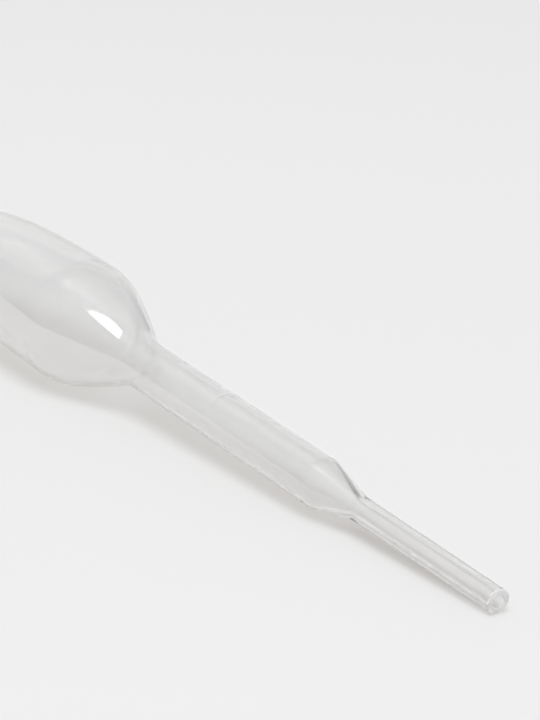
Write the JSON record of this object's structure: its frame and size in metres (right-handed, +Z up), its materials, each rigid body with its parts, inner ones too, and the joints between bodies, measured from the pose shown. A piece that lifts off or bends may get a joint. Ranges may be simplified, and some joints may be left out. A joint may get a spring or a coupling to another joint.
{
  "type": "dropper pipette",
  "caption": "One-piece clear plastic dropper pipette lying on its side, with a squeeze bulb, a straight stem, a short taper and a thin tip with an open bore.",
  "frame": {"origin": "centre of the bounding box at the surface that the pipette lies on", "axes": "+Z up, +X along the pipette towards the open tip, +Y across it"},
  "size_m": [0.104, 0.014, 0.0146],
  "materials": {
    "clear_polyethylene": "clear, slightly hazy low-density polyethylene with a smooth moulded gloss"
  },
  "bodies": {
    "root": {"pipette": "clear_polyethylene"}
  },
  "joints": []
}
